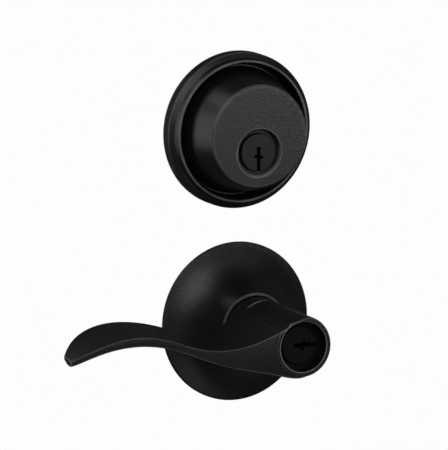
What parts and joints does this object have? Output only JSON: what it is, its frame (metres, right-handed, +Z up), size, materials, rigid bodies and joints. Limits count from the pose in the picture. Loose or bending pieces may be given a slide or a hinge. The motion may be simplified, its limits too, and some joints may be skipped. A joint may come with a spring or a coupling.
{
  "type": "deadbolt and lever entry lock set",
  "caption": "Black door lock set: round tapered deadbolt with low key cylinder above a keyed lever with a thin wave-shaped blade on a domed rose, with bolt, latch and room-side trim.",
  "frame": {"origin": "centre of the deadbolt's trim ring on the outside face of the door", "axes": "+Y into the door, +X towards the door's edge, +Z up"},
  "size_m": [0.1716, 0.1788, 0.1452],
  "materials": {
    "black_coat": "satin black coating",
    "brass": "plain turned",
    "plated_steel": "zinc plated",
    "steel": "plain"
  },
  "bodies": {
    "lock_frame": {"deadbolt_trim_ring": "black_coat", "deadbolt_housing": "black_coat", "deadbolt_cylinder": "black_coat", "deadbolt_driver_pins": "brass", "deadbolt_pin_springs": "steel", "deadbolt_pin_cover": "brass", "deadbolt_support_plate": "plated_steel", "bolt_faceplate": "black_coat", "bolt_case": "plated_steel", "deadbolt_inside_plate": "plated_steel", "deadbolt_through_bolts": "steel", "deadbolt_inside_rose": "black_coat", "lever_outside_rose": "black_coat", "lever_outside_plate": "plated_steel", "lever_outside_spring": "steel", "latch_faceplate": "black_coat", "latch_case": "plated_steel", "latch_spring": "steel", "lever_inside_plate": "plated_steel", "lever_through_bolts": "steel", "lever_inside_spring": "steel", "lever_inside_rose": "black_coat"},
    "deadbolt_key_turner": {"deadbolt_plug": "black_coat", "deadbolt_plug_cap": "brass", "deadbolt_key_pins": "brass"},
    "thumbturn_drive": {"thumbturn": "black_coat", "thumbturn_clip": "steel", "deadbolt_tailpiece": "steel", "bolt_cam": "plated_steel"},
    "bolt_slide": {"bolt": "steel", "bolt_roller": "steel", "bolt_link": "plated_steel"},
    "lever_pair": {"lever_outside_handle": "black_coat", "lever_inside_handle": "black_coat", "lever_outside_grub_screw": "steel", "lever_inside_grub_screw": "steel", "lever_cylinder": "black_coat", "lever_driver_pins": "brass", "lever_pin_springs": "steel", "lever_spindle": "steel", "latch_cam": "plated_steel"},
    "lever_key_turner": {"lever_plug": "black_coat", "lever_key_pins": "brass", "lever_torque_blade": "steel"},
    "button": {"lever_turn_button": "black_coat"},
    "latch_slide": {"latch_bolt": "brass", "latch_link": "plated_steel"},
    "plunger_slide": {"latch_plunger": "steel"}
  },
  "joints": [
    {"name": "deadbolt_key_turn", "type": "hinge", "parent": "lock_frame", "child": "deadbolt_key_turner", "pos_m": [0, -0.012, -0.0065], "axis": [0, 1, 0], "range_deg": [-90, 90]},
    {"name": "thumbturn_turn", "type": "hinge", "parent": "lock_frame", "child": "thumbturn_drive", "pos_m": [0, 0.04445, -0.0065], "axis": [0, 1, 0], "range_deg": [0, 90]},
    {"name": "bolt_throw", "type": "slide", "parent": "lock_frame", "child": "bolt_slide", "axis": [1, 0, 0], "range_m": [0, 0.0254]},
    {"name": "lever_turn", "type": "hinge", "parent": "lock_frame", "child": "lever_pair", "pos_m": [0, 0.02223, -0.08], "axis": [0, -1, 0], "range_deg": [0, 50], "stiffness_Nm_per_rad": 0.6, "springref_deg": -28.65},
    {"name": "latch_draw", "type": "slide", "parent": "lock_frame", "child": "latch_slide", "axis": [-1, 0, 0], "range_m": [0, 0.0127], "deforming": ["latch_spring"]},
    {"name": "plunger_press", "type": "slide", "parent": "lock_frame", "child": "plunger_slide", "axis": [-1, 0, 0], "range_m": [0, 0.0095], "stiffness_N_per_m": 80, "springref_m": -0.012},
    {"name": "lever_key_turn", "type": "hinge", "parent": "lever_pair", "child": "lever_key_turner", "pos_m": [0, -0.05, -0.08], "axis": [0, 1, 0], "range_deg": [-90, 90]},
    {"name": "turn_button_turn", "type": "hinge", "parent": "lever_pair", "child": "button", "pos_m": [0, 0.10445, -0.08], "axis": [0, 1, 0], "range_deg": [0, 90]}
  ],
  "couplings": [
    {"joint": "bolt_throw", "follows": "thumbturn_turn", "m_per_rad": 0.01617},
    {"joint": "latch_draw", "follows": "lever_turn", "m_per_rad": 0.014553}
  ]
}
